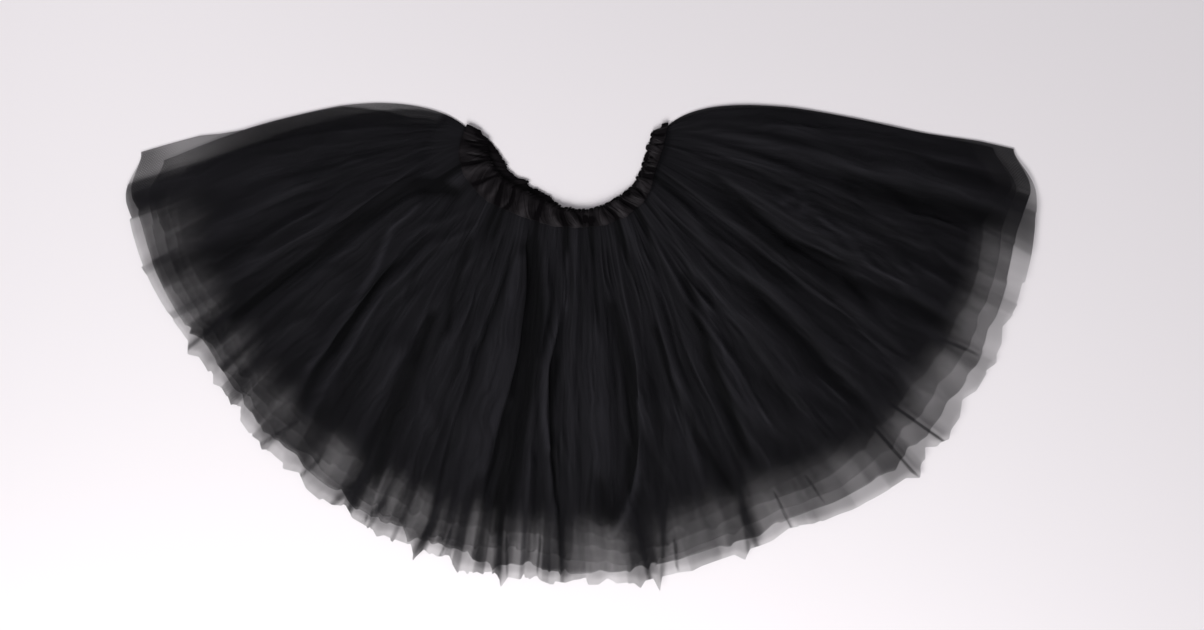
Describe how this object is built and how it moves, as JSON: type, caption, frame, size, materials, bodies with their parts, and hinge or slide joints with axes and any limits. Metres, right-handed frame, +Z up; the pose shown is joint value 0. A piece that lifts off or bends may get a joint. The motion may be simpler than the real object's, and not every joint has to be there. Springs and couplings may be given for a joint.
{
  "type": "tulle skirt",
  "caption": "Short fanned skirt of gathered net layers on an elastic satin waistband, laid flat on its back half.",
  "frame": {"origin": "middle of the underside of the skirt's box, on the surface that it lies on", "axes": "+X across the skirt towards its right side in the picture, +Y from the hem towards the waist, +Z up out of the surface"},
  "size_m": [0.9822, 0.5214, 0.0244],
  "materials": {
    "satin": "satin",
    "tulle": "matt net"
  },
  "bodies": {
    "root": {"waistband": "satin", "tulle_outer": "tulle", "tulle_middle": "tulle", "tulle_inner": "tulle"}
  },
  "joints": []
}
